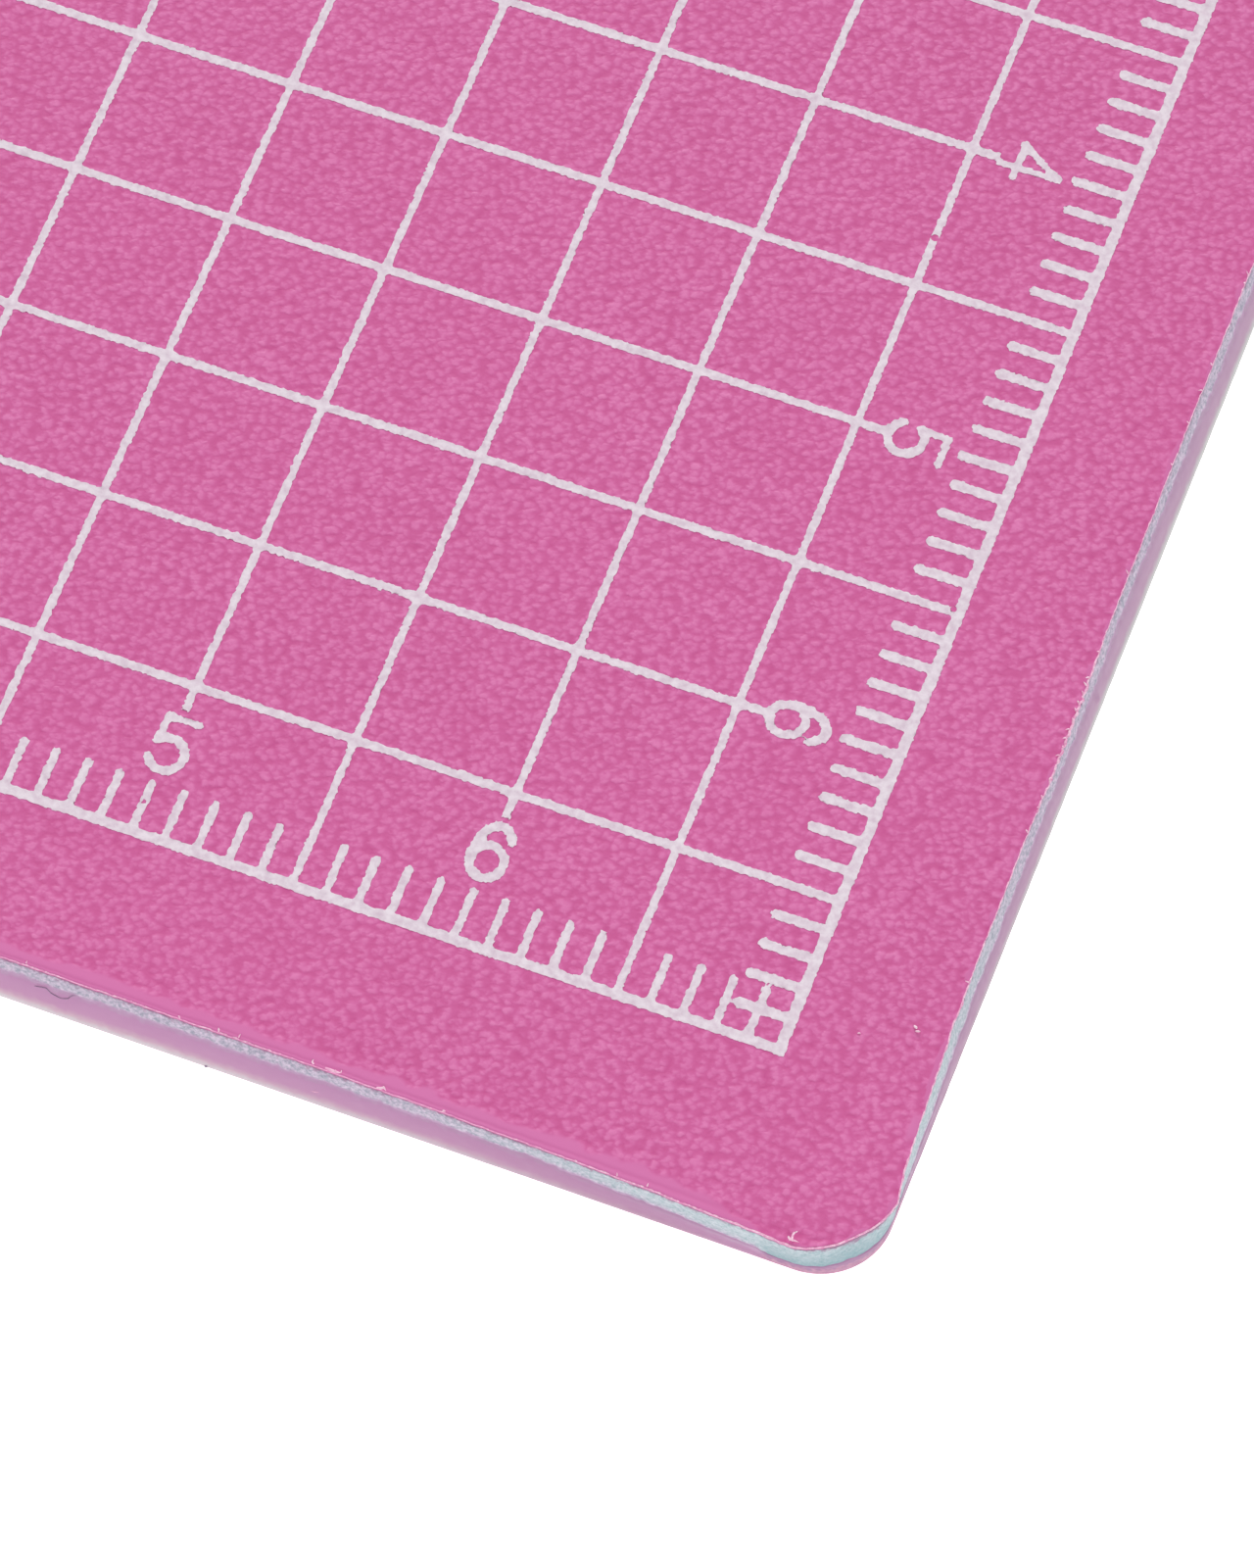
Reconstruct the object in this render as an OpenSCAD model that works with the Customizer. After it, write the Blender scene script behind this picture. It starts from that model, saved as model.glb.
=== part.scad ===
// Small self-healing cutting mat.
// A square plate of three bonded plies, with a centimetre grid and four rulers printed on top.
// Origin: centre of the underside. +X runs along the front ruler, +Y away from it, +Z up.

/* [Mat] */
// Length of each side, over the bottom skin
mat_w = 80; // [78:0.5:120]
// Radius of the rounded corners
corner_r = 2.1; // [1.5:0.1:5]
// Thickness of the smooth bottom skin
bottom_t = 0.35; // [0.2:0.05:0.6]
// Thickness of the soft core that closes up after a cut
core_t = 1.4; // [1.2:0.1:3]
// Thickness of the grained top skin
top_t = 0.25; // [0.15:0.05:0.5]

/* [Cut edge] */
// How far the cut wall leans in, from the underside to the top
wall_lean = 0.3; // [0.1:0.05:0.6]
// How high the bottom skin is dragged up over the core on a straight side
lip_h = 0.9; // [0.4:0.1:1.1]
// Thickness of that lip at its root
lip_t = 0.12; // [0.05:0.01:0.2]
// Bare length between a lip's end and the start of the corner curve
lip_gap = 1; // [0.5:0.1:4]

/* [Print] */
// Length of each ruler in centimetres
field_cm = 7; // [4:1:7]
// Shift of the print from the centre of the mat, to the right
print_dx = 0.42; // [-1:0.01:1]
// Shift of the print from the centre of the mat, to the back
print_dy = 0.41; // [-1:0.01:1]
// Thickness of the ink
ink_t = 0.03; // [0.02:0.01:0.1]
// Width of the frame's lines
frame_w = 0.32; // [0.2:0.01:0.35]
// Width of the grid's lines and of the millimetre marks
line_w = 0.27; // [0.15:0.01:0.32]
// Length of a millimetre mark, from the middle of the frame line
mark_len = 1.75; // [1.2:0.05:1.9]
// Extra length of the numbered marks on the left and right rulers
side_mark_extra = 0.1; // [0:0.05:0.15]
// How far a whole-centimetre grid line runs past the last line that it crosses
stub_len = 0.85; // [0.3:0.05:0.85]
// Height of the numerals
digit_h = 2; // [1.4:0.05:2]
// Width of the strokes of the numerals
digit_stroke = 0.25; // [0.15:0.01:0.3]

/* [Hidden] */
plate_t = bottom_t + core_t + top_t;
half = mat_w / 2;
corner_at = half - corner_r; // distance of each corner's axis from both centre lines
field = 10 * field_cm;
pitch = 5; // grid spacing
digit_gap = 0.02; // clear space between a side numeral and the grid line that points at it
round_fn = 64;
curve_steps = 20; // straight pieces in each curved stroke of a numeral
PINK = [0.82, 0.42, 0.63];
MINT = [0.73, 0.82, 0.83];
INK = [0.89, 0.84, 0.87];
FRONT = 0; // turn of each side's print about the middle of the field
RIGHT = 90;
BACK = 180;
LEFT = 270;

// ---- Plies ----

// How far the cut wall has leant in at height z.
function inset(z) = wall_lean * z / plate_t;

// The slice of the plate between two heights, with leaning walls and rounded corners.
module slice(z0, z1) {
  low = half - inset(z0);
  high = half - inset(z1);
  for (turn = [0, 90])
    rotate([90, 0, turn])
      linear_extrude(2 * corner_at, center = true)
        polygon([[-low, z0], [low, z0], [high, z1], [-high, z1]]);
  for (turn = [0:90:270])
    rotate(turn)
      translate([corner_at, corner_at, z0])
        cylinder(h = z1 - z0, r1 = corner_r - inset(z0), r2 = corner_r - inset(z1), $fn = round_fn);
}

// The thin wedges of bottom skin that lie on the core along the four straight sides.
module lips() {
  root = half - inset(bottom_t);
  tip_z = bottom_t + lip_h;
  for (turn = [0:90:270])
    rotate([90, 0, turn])
      linear_extrude(2 * (corner_at - lip_gap), center = true)
        polygon([[root - lip_t, bottom_t], [root, bottom_t], [half - inset(tip_z), tip_z]]);
}

module bottom_skin() {
  color(PINK) {
    slice(0, bottom_t);
    lips();
  }
}

module core() {
  color(MINT)
    difference() {
      slice(bottom_t, bottom_t + core_t);
      lips();
    }
}

module top_skin() {
  color(PINK) slice(bottom_t + core_t, plate_t);
}

// ---- Print: shapes drawn flat in the field's own frame, whose centre is the origin ----

module ink() {
  color(INK)
    translate([print_dx, print_dy, plate_t])
      linear_extrude(ink_t) children();
}

// A grid line or a mark from (x, y0) to (x, y1).
module line_y(x, y0, y1) {
  translate([x - line_w / 2, y0]) square([line_w, y1 - y0]);
}

module printed_frame() {
  ink()
    difference() {
      square(field + frame_w, center = true);
      square(field - frame_w, center = true);
    }
}

// Half-centimetre lines end at the frame. Whole-centimetre lines end in a stub beside a numeral.
module printed_grid() {
  to_frame = (field - frame_w) / 2;
  to_stub = field / 2 - pitch + stub_len;
  ink()
    for (turn = [0, 90])
      rotate(turn)
        for (i = [1 : field / pitch - 1]) {
          reach = i % 2 == 1 ? to_frame : to_stub;
          line_y(i * pitch - field / 2, -reach, reach);
        }
}

// One ruler's millimetre marks along the front of the field. Grid lines stand in for the fives.
module marks(numbered_extra) {
  base = (frame_w - field) / 2;
  for (i = [1 : field - 1])
    if (i % 10 != 5) {
      extra = i % 10 == 0 ? numbered_extra : 0;
      line_y(i - field / 2, base, mark_len + extra - field / 2);
    }
}

module marks_front() {
  ink() rotate(FRONT) marks(0);
}

module marks_back() {
  ink() rotate(BACK) marks(0);
}

// The side marks give way where they cross the front and back marks near the corners.
module side_marks(turn) {
  ink()
    difference() {
      rotate(turn) marks(side_mark_extra);
      rotate(FRONT) marks(0);
      rotate(BACK) marks(0);
    }
}

module marks_right() {
  side_marks(RIGHT);
}

module marks_left() {
  side_marks(LEFT);
}

// ---- Numerals: centre lines of the strokes, in a box 2 high that stands on the baseline ----

function curve(centre, radii, from, to) = [
  for (i = [0 : curve_steps])
    let (a = from + (to - from) * i / curve_steps)
      [centre[0] + radii[0] * cos(a), centre[1] + radii[1] * sin(a)]
];

function strokes(n) =
  n == 1 ? [[[0.12, 0], [0.12, 2]], [[-0.35, 1.42], [0.05, 1.68], [0.18, 1.95]]] :
  n == 2 ? [concat(curve([0, 1.36], [0.5, 0.5], 170, -32), [[-0.5, 0.14]]),
            [[-0.62, 0.125], [0.6, 0.125]]] :
  n == 3 ? [curve([-0.02, 1.41], [0.44, 0.45], 165, -95),
            curve([0, 0.62], [0.5, 0.5], 100, -165)] :
  n == 4 ? [[[0.16, 0], [0.16, 2]], [[-0.7, 0.6], [0.56, 0.6]],
            [[-0.66, 0.52], [0.16, 1.92]]] :
  n == 5 ? [[[-0.42, 1.86], [0.58, 1.86]], [[-0.34, 1.86], [-0.44, 0.96]],
            curve([0.02, 0.66], [0.53, 0.54], 143, -160)] :
           [curve([0, 0.66], [0.5, 0.54], 0, 180), curve([0, 0.66], [0.5, 0.54], 180, 360),
            curve([0.03, 0.94], [0.55, 0.93], 200, 34)];

// Direction of a path at point i, along the chord between its neighbours.
function heading(path, i) =
  let (step = path[min(i + 1, len(path) - 1)] - path[max(i - 1, 0)]) step / norm(step);

function side_of(path, offset) = [
  for (i = [0 : len(path) - 1])
    let (h = heading(path, i)) path[i] + offset * [-h[1], h[0]]
];

function reversed(list) = [for (i = [len(list) - 1 : -1 : 0]) list[i]];

module stroke(path) {
  polygon(concat(side_of(path, digit_stroke / 2), reversed(side_of(path, -digit_stroke / 2))));
}

module numeral(n) {
  size = digit_h / 2;
  for (path = strokes(n)) stroke(size * path);
}

// Front and back numerals stand with their feet near the marks, side numerals with their heads.
module upright_numerals() {
  for (n = [1 : field_cm - 1])
    translate([10 * n - field / 2, 2 - field / 2]) numeral(n);
}

module turned_numerals() {
  foot = field / 2 - pitch + stub_len + digit_gap;
  for (n = [1 : field_cm - 1])
    translate([foot, field / 2 - 10 * n]) rotate(-90) numeral(n);
}

module numerals_front() {
  ink() rotate(FRONT) upright_numerals();
}

module numerals_back() {
  ink() rotate(BACK) upright_numerals();
}

module numerals_right() {
  ink() turned_numerals();
}

module numerals_left() {
  ink() rotate(BACK) turned_numerals();
}

bottom_skin();
core();
top_skin();
printed_grid();
printed_frame();
marks_front();
marks_right();
marks_back();
marks_left();
numerals_front();
numerals_right();
numerals_back();
numerals_left();
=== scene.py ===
"""Looks of a small self-healing mat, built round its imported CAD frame.

Shapes are worked out in millimetres, in the frame's own axes, and turned to metres
when a mesh is made. Every random number comes from a seeded generator.
"""

import math

import bpy
import numpy as np
from mathutils import Matrix, Vector


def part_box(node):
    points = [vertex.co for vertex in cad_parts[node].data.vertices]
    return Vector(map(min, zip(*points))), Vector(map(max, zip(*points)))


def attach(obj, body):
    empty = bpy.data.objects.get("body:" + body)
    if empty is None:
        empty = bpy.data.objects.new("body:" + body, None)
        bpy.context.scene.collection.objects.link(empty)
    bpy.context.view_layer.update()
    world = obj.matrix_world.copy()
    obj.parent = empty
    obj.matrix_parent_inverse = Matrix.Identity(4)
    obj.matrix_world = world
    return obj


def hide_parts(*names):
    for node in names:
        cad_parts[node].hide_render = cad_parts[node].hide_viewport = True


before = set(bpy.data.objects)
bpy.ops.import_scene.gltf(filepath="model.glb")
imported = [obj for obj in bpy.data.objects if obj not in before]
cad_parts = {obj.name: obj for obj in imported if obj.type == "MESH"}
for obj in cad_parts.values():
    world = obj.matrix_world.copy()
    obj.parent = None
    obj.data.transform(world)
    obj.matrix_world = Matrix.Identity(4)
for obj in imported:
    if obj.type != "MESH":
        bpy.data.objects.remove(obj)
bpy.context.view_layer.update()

MM = 0.001


def node_box(node):
    """A CAD node's lowest and highest corners, in millimetres."""
    low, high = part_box(node)
    return np.array(low) / MM, np.array(high) / MM


# ---- Sizes read from the frame ----

HALF = node_box("bottom_skin")[1][0]  # half the mat's side
TOP = node_box("top_skin")[1][2]
CORE_LOW, CORE_HIGH = (node_box("core")[k][2] for k in (0, 1))
LIP_HIGH = node_box("bottom_skin")[1][2]  # top of the dragged-up lips
frame_low, frame_high = node_box("printed_frame")
grid_low, grid_high = node_box("printed_grid")
LINE = frame_high[0] - grid_high[0]  # width of the printed frame
FIELD = (frame_high[0] - frame_low[0] + grid_high[0] - grid_low[0]) / 2
FIELD_X, FIELD_Y = ((frame_low[k] + frame_high[k] - FIELD) / 2 for k in (0, 1))
INK = frame_high[2] - TOP  # ink thickness
MARK = node_box("marks_front")[1][1] - FIELD_Y  # length of a millimetre mark
SIDE_MARK = FIELD_X + FIELD - node_box("marks_right")[0][0]
DIGIT_FOOT = node_box("numerals_front")[0][1] - FIELD_Y
SIDE_DIGIT_FOOT = FIELD_X + FIELD - node_box("numerals_right")[0][0]

# ---- Driving sizes of the looks, in millimetres ----

CORNER = 2.1  # corner radius of the underside
PITCH = 0.1  # spacing of the top skin's points
EDGE_PITCH = 0.03  # the same, at the very edge
PITCH_GROWTH = 1.09  # of the spacing, from one point to the next on the way in
WALL_PITCH = 0.08  # spacing of points along the cut walls
BURR_PITCH = 0.04  # the same, along the torn rim
INK_PITCH = 0.055  # spacing of the print's points
CORE_ROWS, LIP_ROWS, EDGE_ROWS = 24, 14, 6  # rows of points down the core, the lip and the lower edge
LOWER_EDGE = 0.06  # radius of the rounded lower edge
GRAIN_DEPTH = 0.021  # height of the pebbles
CORNER_FLARE = 0.16  # how far the top skin overhangs the underside at a corner
FRONT_LEAN = 0.41  # how far the middle of the front and back walls leans in
SIDE_LEAN = 0.48  # the same, on the left and right
OUTSET = 0.05  # how far the cut outline stands outside the CAD one at the corners
SAG = 0.07  # how far the front and back draw in from there, between their corners
RIM_REACH = 0.9  # how far in from its edge the top skin follows the cut line

# Places of single marks on the right side
TEAR_Y = -22  # middle of the torn stretch
HOLLOW_Y = -30  # a shallow hollow in the rim
NOTCH_Y = -32.2  # a small notch beside it
FLAP_Y = -35.55  # a flap of plain skin
BLEMISH_Y, BLEMISH_Z = -20.24, 0.85  # a bump on the wall

QUARTER_TURNS = ((1, 0), (0, 1), (-1, 0), (0, -1))  # cosine and sine of each


# ---- Noise ----


def smooth(low, high, x):
    """0 below low, 1 above high, and an S curve between."""
    t = np.clip((x - low) / (high - low), 0, 1)
    return t * t * (3 - 2 * t)


def noise(x, y, size, seed):
    """Smooth noise from 0 to 1, with lumps about size across."""
    n = 256  # the pattern repeats after so many lumps
    table = np.random.default_rng(seed).random((n, n))
    gx, gy = x / size, y / size
    ix, iy = np.floor(gx).astype(int), np.floor(gy).astype(int)
    fx, fy = gx - ix, gy - iy
    fx, fy = fx * fx * (3 - 2 * fx), fy * fy * (3 - 2 * fy)
    x0, x1, y0, y1 = ix % n, (ix + 1) % n, iy % n, (iy + 1) % n
    low = table[x0, y0] * (1 - fx) + table[x1, y0] * fx
    high = table[x0, y1] * (1 - fx) + table[x1, y1] * fx
    return low * (1 - fy) + high * fy


def cells(x, y, size, seed):
    """Distance to the nearest of a scatter of points, in units of size."""
    n = 512  # the scatter repeats after so many points
    jitter = np.random.default_rng(seed).random((2, n, n))
    gx, gy = x / size, y / size
    ix, iy = np.floor(gx).astype(int), np.floor(gy).astype(int)
    near = np.full(gx.shape, np.inf)
    for dx in (-1, 0, 1):
        for dy in (-1, 0, 1):
            cx, cy = ix + dx, iy + dy
            px = cx + jitter[0, cx % n, cy % n]
            py = cy + jitter[1, cx % n, cy % n]
            near = np.minimum(near, np.hypot(px - gx, py - gy))
    return near


def grain(x, y):
    """Height of the pebbled grain, from 0 in the creases to about 1 on the pebbles."""
    wx = x + 0.16 * (noise(x, y, 0.26, 11) - 0.5)
    wy = y + 0.16 * (noise(x, y, 0.26, 12) - 0.5)
    near = cells(wx, wy, 0.29, 13)
    pebble = 1 - np.minimum(near, 1) ** 2
    return pebble * (0.65 + 0.35 * noise(x, y, 1.1, 14)) + 0.5 * (noise(x, y, 0.17, 15) - 0.5)


# ---- Outline ----


def rounded(x, y):
    """Moves points of the square to the rounded square, and gives their outward directions."""
    axis = HALF - CORNER
    ax, ay = np.abs(x), np.abs(y)
    wide = ax >= ay
    far, near = np.maximum(ax, ay) - axis, np.minimum(ax, ay) - axis
    turn = np.where(near > 0, math.pi / 4 * near / np.maximum(far, 1e-9), 0)
    big = np.where(near > 0, axis + far * np.cos(turn), np.maximum(ax, ay))
    small = np.where(near > 0, axis + far * np.sin(turn), np.minimum(ax, ay))
    sx, sy = np.where(x < 0, -1.0, 1.0), np.where(y < 0, -1.0, 1.0)
    nx = sx * np.where(wide, np.cos(turn), np.sin(turn))
    ny = sy * np.where(wide, np.sin(turn), np.cos(turn))
    return sx * np.where(wide, big, small), sy * np.where(wide, small, big), nx, ny


def outline(pitch):
    """Points round the underside's outline, anticlockwise, as x, y and outward nx, ny."""
    axis = HALF - CORNER
    straight = np.linspace(-axis, axis, round(2 * axis / pitch), endpoint=False)
    turn = np.linspace(0, math.pi / 2, max(8, round(math.pi / 2 * CORNER / pitch)), endpoint=False)
    side = np.stack([straight, -HALF + 0 * straight, 0 * straight, -1 + 0 * straight])
    arc = np.stack(
        [axis + CORNER * np.sin(turn), -axis - CORNER * np.cos(turn), np.sin(turn), -np.cos(turn)]
    )
    quarter = np.concatenate([side, arc], axis=1)
    parts = []
    x, y, nx, ny = quarter
    for c, s in QUARTER_TURNS:
        parts.append(np.stack([c * x - s * y, s * x + c * y, c * nx - s * ny, s * nx + c * ny]))
    return np.concatenate(parts, axis=1)


def edge_depth(x, y):
    """Distance inside the square's nearest side."""
    return HALF - np.maximum(np.abs(x), np.abs(y))


def straightness(x, y):
    """Distance along the side from the start of the nearest corner curve."""
    return np.maximum(HALF - CORNER - np.minimum(np.abs(x), np.abs(y)), 0)


def corner_share(x, y):
    """0 on the straight sides, rising to 1 halfway round a corner."""
    ax, ay = np.abs(x) - HALF + CORNER, np.abs(y) - HALF + CORNER
    return np.clip(np.minimum(ax, ay) / np.maximum(np.maximum(ax, ay), 1e-9), 0, 1)


def is_front_or_back(x, y):
    """True nearer the front and back sides than the left and right ones."""
    return np.abs(y) >= np.abs(x)


def sag(x, y):
    """How far the cut outline lies inside the CAD one, or below 0 where it stands outside."""
    return SAG * is_front_or_back(x, y) * (1 - np.exp(-straightness(x, y) / 12)) - OUTSET


def torn(x, y):
    """1 along the stretch of the right side where the skin tore, and 0 elsewhere."""
    return (x > HALF - CORNER) * np.exp(-(((y - TEAR_Y) / 2.6) ** 4))


def top_inset(x, y):
    """How far the top skin's edge lies inside the underside's outline."""
    ahead = is_front_or_back(x, y)
    run = straightness(x, y)
    front = FRONT_LEAN - (FRONT_LEAN + CORNER_FLARE) * np.exp(-run / 8.5)
    side = SIDE_LEAN - 0.46 * np.exp(-run / 10.3) - (CORNER_FLARE + 0.02) * np.exp(-run / 1.2)
    ragged = 0.015 * (noise(x, y, 0.8, 21) - 0.5) + 0.03 * (noise(x, y, 0.14, 22) - 0.5)
    tear = (0.08 * noise(x, y, 0.12, 23) - 0.1) * torn(x, y)
    notch = 0.05 * np.exp(-(((y - NOTCH_Y) / 0.35) ** 2)) + 0.04 * np.exp(-(((y - HOLLOW_Y) / 2.5) ** 2))
    notch = notch * ((x > HALF - CORNER) & ~ahead)
    # the skin's corners are cut rounder than the base's
    rounder = 0.22 * np.sin(math.pi / 2 * corner_share(x, y))
    return np.where(ahead, front, side) + rounder + ragged + tear + notch


# ---- Making meshes ----


def make_mesh(name, points, faces):
    """A smooth mesh from points in millimetres and arrays of faces, one array per face size."""
    mesh = bpy.data.meshes.new(name)
    loops = np.concatenate([f.ravel() for f in faces]).astype(np.int32)
    sizes = np.concatenate([np.full(len(f), f.shape[1]) for f in faces])
    mesh.vertices.add(len(points))
    mesh.vertices.foreach_set("co", (points * MM).astype(np.float32).ravel())
    mesh.loops.add(len(loops))
    mesh.loops.foreach_set("vertex_index", loops)
    mesh.polygons.add(len(sizes))
    starts = np.concatenate([[0], np.cumsum(sizes)[:-1]]).astype(np.int32)
    mesh.polygons.foreach_set("loop_start", starts)
    mesh.polygons.foreach_set("use_smooth", np.ones(len(sizes), bool))
    mesh.update(calc_edges=True)
    return mesh


def add_value(mesh, name, values):
    """A number for each point of a mesh, for its material to read."""
    mesh.attributes.new(name, "FLOAT", "POINT").data.foreach_set("value", values.astype(np.float32).ravel())


def add_piece(name, mesh, material, nodes=()):
    """Shows a mesh as a piece of the object, in place of the CAD nodes named."""
    piece = bpy.data.objects.new(name, mesh)
    bpy.context.scene.collection.objects.link(piece)
    mesh.materials.append(material)
    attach(piece, "root")
    if nodes:
        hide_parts(*nodes)
    return piece


def loft(rows):
    """Quads between closed rows of points, each row below the one before it."""
    index = np.arange(rows.shape[0] * rows.shape[1]).reshape(rows.shape[:2])
    a, b = index[:-1], index[1:]
    quads = np.stack([a, b, np.roll(b, -1, 1), np.roll(a, -1, 1)], axis=-1)
    return quads.reshape(-1, 4), index


def wall_rows(ring, profile):
    """Rows of points: for each (inset, height) of the profile, the outline moved in that far."""
    x, y, nx, ny = ring
    rows = []
    for inset, z in profile:
        rows.append(np.stack([x - nx * inset, y - ny * inset, z + 0 * x], axis=-1))
    return np.array(rows)


# ---- Materials ----


class Shader:
    """A node material under construction, called s in the functions below."""

    def __init__(self, name):
        self.material = bpy.data.materials.new(name)
        self.material.use_nodes = True
        self.tree = self.material.node_tree
        self.surface = self.tree.nodes["Principled BSDF"]
        self.surface.inputs["Specular IOR Level"].default_value = 0.25
        self.place = self.add("ShaderNodeTexCoord").outputs["Object"]

    def add(self, kind, **settings):
        """A new node of a kind, with its settings."""
        node = self.tree.nodes.new(kind)
        for key, value in settings.items():
            setattr(node, key, value)
        return node

    def link(self, source, target):
        """Joins an output to an input."""
        self.tree.links.new(source, target)

    def stretched(self, scale):
        """The object's own coordinates, scaled on each axis."""
        node = self.add("ShaderNodeMapping")
        node.inputs["Scale"].default_value = scale
        self.link(self.place, node.inputs["Vector"])
        return node.outputs["Vector"]

    def noise(self, size, detail=3.0, roughness=0.55, vector=None):
        """Noise with lumps of a size in millimetres."""
        node = self.add("ShaderNodeTexNoise")
        node.inputs["Scale"].default_value = 1 / (size * MM)
        node.inputs["Detail"].default_value = detail
        node.inputs["Roughness"].default_value = roughness
        self.link(vector or self.place, node.inputs["Vector"])
        return node.outputs["Fac"]

    def value(self, name):
        """A number that the mesh holds for each point."""
        return self.add("ShaderNodeAttribute", attribute_name=name).outputs["Fac"]

    def ramp(self, factor, stops):
        """Colours at positions along a factor."""
        node = self.add("ShaderNodeValToRGB")
        elements = node.color_ramp.elements
        while len(elements) < len(stops):
            elements.new(0.5)
        for element, (position, colour) in zip(elements, stops):
            element.position = position
            element.color = (*colour, 1)
        self.link(factor, node.inputs["Fac"])
        return node.outputs["Color"]

    def mix(self, factor, first, second):
        """A blend of two colours, each a socket or a plain colour."""
        node = self.add("ShaderNodeMix", data_type="RGBA")
        sockets = [node.inputs[k] for k in (0, 6, 7)]  # the factor and the two colours
        for socket, source in zip(sockets, (factor, first, second)):
            if isinstance(source, tuple):
                socket.default_value = (*source, 1)
            elif isinstance(source, float):
                socket.default_value = source
            else:
                self.link(source, socket)
        return node.outputs[2]

    def fit(self, factor, low, high, to_low, to_high):
        """A number moved from one range to another, and held inside it."""
        node = self.add("ShaderNodeMapRange")
        limits = {"From Min": low, "From Max": high, "To Min": to_low, "To Max": to_high}
        for name, number in limits.items():
            node.inputs[name].default_value = number
        self.link(factor, node.inputs["Value"])
        return node.outputs["Result"]

    def maths(self, operation, first, second):
        """Arithmetic on two sockets or numbers."""
        node = self.add("ShaderNodeMath", operation=operation)
        for socket, source in zip(node.inputs, (first, second)):
            if isinstance(source, (int, float)):
                socket.default_value = source
            else:
                self.link(source, socket)
        return node.outputs[0]

    def drawn_out(self):
        """The object's own coordinates, for a texture drawn out a little along one direction."""
        node = self.add("ShaderNodeMapping", vector_type="TEXTURE")
        node.inputs["Rotation"].default_value = (0, 0, math.radians(20))
        node.inputs["Scale"].default_value = (1.2, 0.95, 1)
        self.link(self.place, node.inputs["Vector"])
        return node.outputs["Vector"]

    def warped(self, reach, size, vector):
        """Coordinates pushed about by a noise, by a reach in metres, with lumps in millimetres."""
        push = self.add("ShaderNodeTexNoise")
        push.inputs["Scale"].default_value = 1 / (size * MM)
        self.link(vector, push.inputs["Vector"])
        node = self.add("ShaderNodeVectorMath", operation="MULTIPLY_ADD")
        self.link(push.outputs["Color"], node.inputs[0])
        node.inputs[1].default_value = (reach, reach, reach)
        self.link(vector, node.inputs[2])
        return node.outputs[0]

    def cells(self, size, vector):
        """Soft domes of a size in millimetres, scattered over the surface."""
        node = self.add("ShaderNodeTexVoronoi", feature="SMOOTH_F1", voronoi_dimensions="2D")
        node.inputs["Scale"].default_value = 1 / (size * MM)
        node.inputs["Smoothness"].default_value = 0.4
        self.link(vector, node.inputs["Vector"])
        return self.fit(node.outputs["Distance"], 0.15, 0.7, 0.7, 0.0)

    def bump(self, height, depth, below=None, strength=None):
        """A bump of a depth in millimetres, over another one if given."""
        node = self.add("ShaderNodeBump")
        node.inputs["Distance"].default_value = depth * MM
        if strength is not None:
            self.link(strength, node.inputs["Strength"])
        self.link(height, node.inputs["Height"])
        if below is not None:
            self.link(below, node.inputs["Normal"])
        return node.outputs["Normal"]

    def finish(self, colour, roughness, normal):
        """The material, once its surface has a colour, a roughness and bumps."""
        self.link(colour, self.surface.inputs["Base Color"])
        self.link(roughness, self.surface.inputs["Roughness"])
        self.link(normal, self.surface.inputs["Normal"])
        return self.material


def skin_material():
    """Grained pink vinyl, with painted shade in the creases and a painted sheen on the pebbles and on the
    plain strip along the edge.
    """
    s = Shader("pink_skin")
    drawn = s.drawn_out()
    domes = s.cells(0.23, s.warped(0.00028, 0.2, drawn))
    pebbles = s.maths(
        "ADD", s.maths("MULTIPLY", domes, 0.65), s.maths("MULTIPLY", s.noise(0.2, 1.5, vector=drawn), 0.65)
    )
    grained = s.maths("SUBTRACT", 1.0, s.value("plain"))
    rise = s.maths("MULTIPLY", s.fit(pebbles, 0.28, 0.75, -0.7, 0.7), grained)
    # painted shade low in the creases and a painted sheen on the pebble tops: the colour follows the
    # grain's height
    colour = s.ramp(
        s.fit(s.maths("ADD", s.value("grain"), rise), -0.4, 1.7, 0.0, 1.0),
        [
            (0.0, (0.528, 0.081, 0.264)),
            (0.14, (0.546, 0.092, 0.277)),
            (0.48, (0.576, 0.110, 0.311)),
            (0.74, (0.625, 0.145, 0.364)),
            (1.0, (0.68, 0.188, 0.42)),
        ],
    )
    # painted sheen on the plain strip along the edge
    colour = s.mix(s.fit(s.value("plain"), 0.0, 1.0, 0.0, 0.55), colour, (0.60, 0.175, 0.40))
    patches = s.fit(s.noise(6, 4), 0.35, 0.65, 0.0, 0.12)
    colour = s.mix(patches, colour, (0.64, 0.115, 0.34))
    rough = s.fit(s.noise(0.5), 0.3, 0.7, 0.42, 0.52)
    normal = s.bump(pebbles, 0.024, strength=grained)
    return s.finish(colour, rough, normal)


def ink_material():
    """Matt white screen ink with the pink showing faintly through."""
    s = Shader("white_ink")
    colour = s.ramp(s.noise(0.25, 4), [(0.3, (0.61, 0.485, 0.575)), (0.62, (0.74, 0.656, 0.72))])
    rough = s.fit(s.noise(0.2), 0.3, 0.7, 0.55, 0.7)
    normal = s.bump(s.noise(0.1, 3), 0.006)
    return s.finish(colour, rough, normal)


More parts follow.
